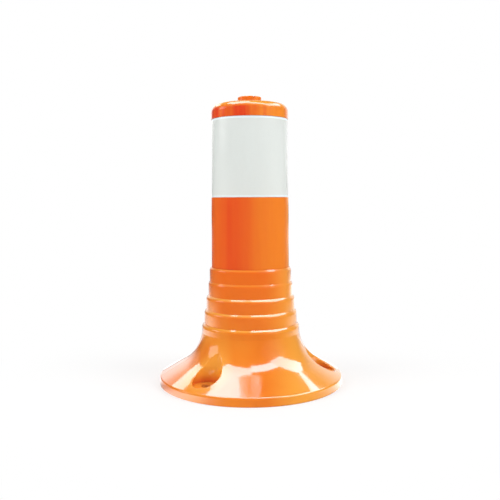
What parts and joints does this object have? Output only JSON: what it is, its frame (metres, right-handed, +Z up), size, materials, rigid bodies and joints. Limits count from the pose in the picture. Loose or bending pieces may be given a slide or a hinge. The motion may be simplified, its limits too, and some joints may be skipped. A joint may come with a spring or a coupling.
{
  "type": "spring delineator post",
  "caption": "Short flexible road delineator: flared bolt-down base, stepped elastic neck over a coil return spring, tube with a reflective band, domed cap held by a slotted nut.",
  "frame": {"origin": "on the road surface, on the post's axis, at the middle of the base's underside", "axes": "+Z up along the post; the picture's viewer looks along +Y with +X to the right"},
  "size_m": [0.1872, 0.1872, 0.2936],
  "materials": {
    "base_polyurethane": "glossy orange moulded polyurethane",
    "boot_polyurethane": "glossy orange elastic polyurethane",
    "tube_polyethylene": "satin orange moulded polyethylene",
    "cap_polyethylene": "glossy orange moulded polyethylene",
    "reflective_sheeting": "satin white retroreflective sheeting",
    "zinc_plated_steel": "bright zinc plate",
    "machined_aluminium": "turned",
    "spring_steel": "phosphated and oiled",
    "black_rubber": "moulded"
  },
  "bodies": {
    "base": {"base_flange": "base_polyurethane", "base_plate": "zinc_plated_steel", "flange_screws": "zinc_plated_steel", "anchor_bushes": "zinc_plated_steel", "lower_spring_socket": "zinc_plated_steel", "socket_screws": "zinc_plated_steel", "lower_grub_screws": "zinc_plated_steel", "boot_clip": "zinc_plated_steel", "neck_boot": "boot_polyurethane"},
    "spring": {"return_spring": "spring_steel"},
    "post": {"upper_spring_socket": "machined_aluminium", "upper_grub_screws": "zinc_plated_steel", "post_tube": "tube_polyethylene", "reflective_band": "reflective_sheeting", "tie_rod": "zinc_plated_steel", "tie_rod_washers": "zinc_plated_steel", "tie_rod_nuts": "zinc_plated_steel", "top_cap": "cap_polyethylene", "cap_seal": "black_rubber", "cap_washer": "black_rubber", "cap_nut": "cap_polyethylene"}
  },
  "joints": [
    {"name": "neck_bend_fore_aft", "type": "hinge", "parent": "base", "child": "spring", "pos_m": [0, 0, 0.082], "axis": [1, 0, 0], "range_deg": [-50, 50], "stiffness_Nm_per_rad": 26, "deforming": ["neck_boot", "return_spring"]},
    {"name": "neck_bend_sideways", "type": "hinge", "parent": "spring", "child": "post", "pos_m": [0, 0, 0.112], "axis": [0, 1, 0], "range_deg": [-50, 50], "stiffness_Nm_per_rad": 26, "deforming": ["neck_boot", "return_spring"]}
  ]
}
